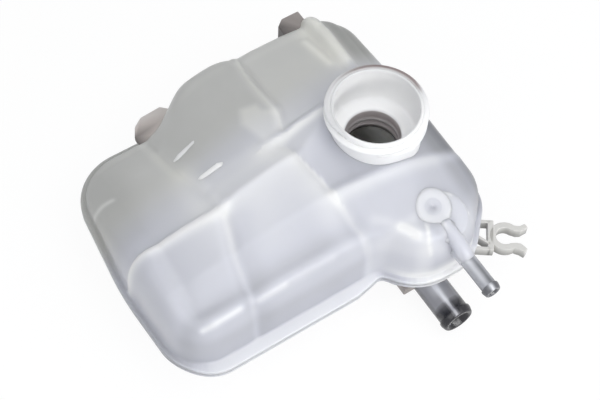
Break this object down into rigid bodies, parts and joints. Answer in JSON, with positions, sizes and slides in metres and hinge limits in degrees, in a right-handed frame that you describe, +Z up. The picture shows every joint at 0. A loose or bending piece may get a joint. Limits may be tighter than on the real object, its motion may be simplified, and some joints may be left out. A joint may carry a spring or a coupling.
{
  "type": "coolant expansion tank",
  "caption": "Milky plastic coolant expansion tank: two welded half shells with a panelled roof, open filler neck, vent and outlet spigots and a snap-in hose clip.",
  "frame": {"origin": "middle of the box round the tank in X and Y, at the height of the flat floor under the lower shell", "axes": "+Z up along the filler neck, +X along the tank towards the neck and the clip, +Y to the back, away from the spigots"},
  "size_m": [0.2228, 0.216, 0.103],
  "materials": {
    "milky_upper": "milky natural polypropylene, satin, slightly translucent",
    "milky_lower": "milky natural polypropylene, satin, slightly translucent"
  },
  "bodies": {
    "root": {"upper_shell": "milky_upper", "lower_shell": "milky_lower"}
  },
  "joints": []
}
